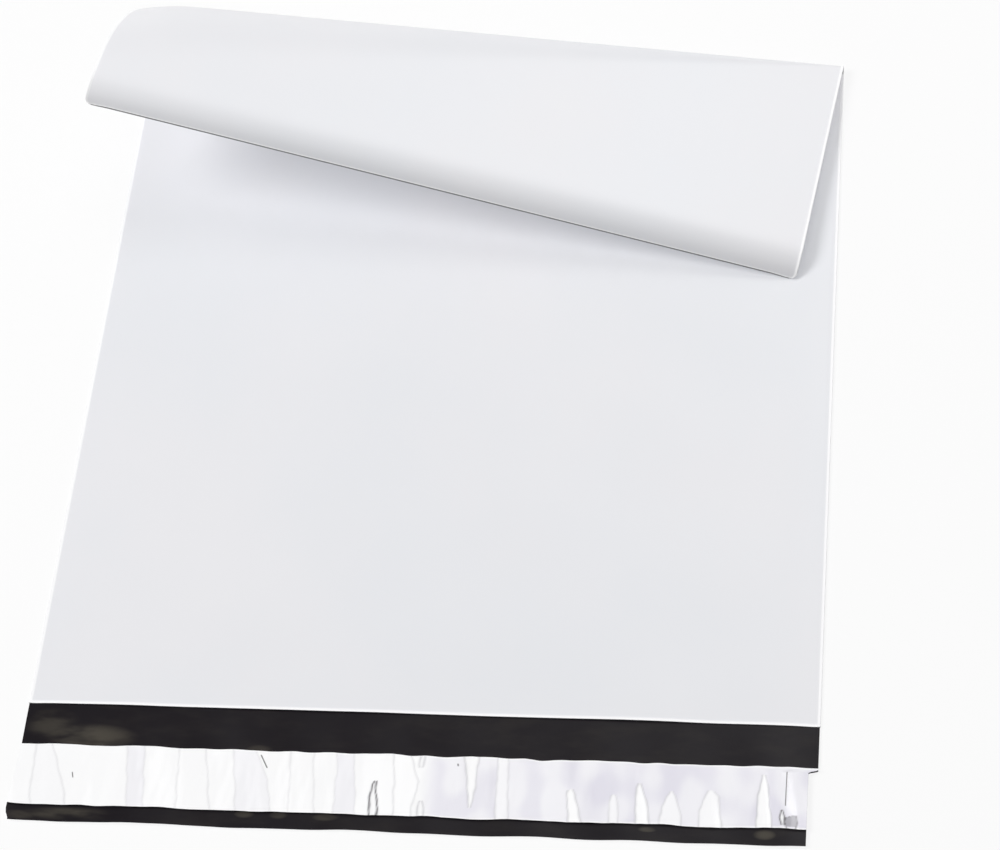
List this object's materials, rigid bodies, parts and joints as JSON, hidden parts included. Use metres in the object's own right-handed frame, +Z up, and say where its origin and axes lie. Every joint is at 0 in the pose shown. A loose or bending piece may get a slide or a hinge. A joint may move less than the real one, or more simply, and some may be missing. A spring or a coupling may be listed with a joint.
{
  "type": "poly mailer bag",
  "caption": "Flat white film mailer with a dark inner face, an adhesive flap under a glossy release liner, and its closed end rolled over onto the front panel.",
  "frame": {"origin": "on the underside of the back panel, below the middle of the mouth edge", "axes": "+X across the bag to the right seen from the flap end, +Y along the bag from the flap to the closed end, +Z up out of the front panel"},
  "size_m": [0.3135, 0.3906, 0.0667],
  "materials": {
    "film": "satin co-extruded polyethylene film, white outside and black inside",
    "adhesive": "tacky translucent hot-melt",
    "liner": "glossy translucent white silicone-coated film"
  },
  "bodies": {
    "root": {"mailer_film": "film", "adhesive_strip": "adhesive", "release_liner": "liner"}
  },
  "joints": []
}
